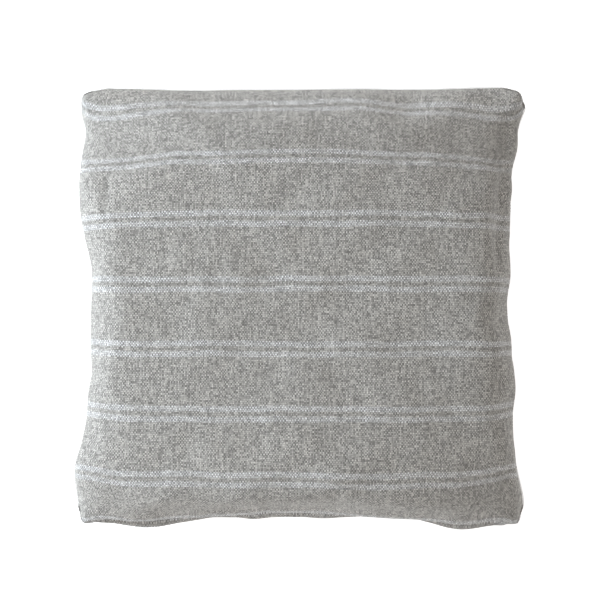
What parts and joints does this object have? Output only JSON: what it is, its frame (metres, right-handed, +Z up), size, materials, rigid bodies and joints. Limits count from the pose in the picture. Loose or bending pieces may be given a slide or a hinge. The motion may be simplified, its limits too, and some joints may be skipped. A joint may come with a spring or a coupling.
{
  "type": "throw pillow",
  "caption": "Square throw pillow: striped woven linen cover of two panels with a concealed zip along one edge, over a stuffed insert.",
  "frame": {"origin": "on the surface the pillow lies on, under the middle of its box", "axes": "+Z up through the thickness to the front panel, +X along the zip from its closed end to its open end, +Y from the zip to the opposite edge"},
  "size_m": [0.4778, 0.4724, 0.165],
  "materials": {
    "linen_front": "slubby plain-weave linen, greige with paired pale stripes",
    "linen_back": "the same striped linen",
    "cover_thread": "matt sewing thread",
    "zip_tape": "flat woven tape",
    "zip_coil": "nylon",
    "zip_stop": "dull nickel",
    "zip_slider": "dull nickel",
    "zip_pull": "dull nickel",
    "insert_cotton": "close plain-weave cotton",
    "insert_thread": "matt sewing thread",
    "fill": "soft white feather or fibre",
    "label": "blank satin tape"
  },
  "bodies": {
    "pillow": {"front_panel": "linen_front", "back_panel": "linen_back", "cover_seam_thread": "cover_thread", "zipper_stitch_front": "cover_thread", "zipper_stitch_back": "cover_thread", "zipper_tape_front": "zip_tape", "zipper_tape_back": "zip_tape", "zipper_coil_front": "zip_coil", "zipper_coil_back": "zip_coil", "zipper_top_stop_front": "zip_stop", "zipper_top_stop_back": "zip_stop", "zipper_bottom_stop": "zip_stop", "insert_case_front": "insert_cotton", "insert_case_back": "insert_cotton", "insert_seam_thread": "insert_thread", "insert_fill": "fill", "care_label": "label"},
    "slider": {"zipper_slider": "zip_slider"},
    "pull": {"pull_tab": "zip_pull"}
  },
  "joints": [
    {"name": "zipper_slide", "type": "slide", "parent": "pillow", "child": "slider", "axis": [1, 0, 0], "range_m": [0, 0.332]},
    {"name": "pull_swing", "type": "hinge", "parent": "slider", "child": "pull", "pos_m": [-0.1662, -0.2095, 0.07], "axis": [0, 0, -1], "range_deg": [0, 150]}
  ]
}
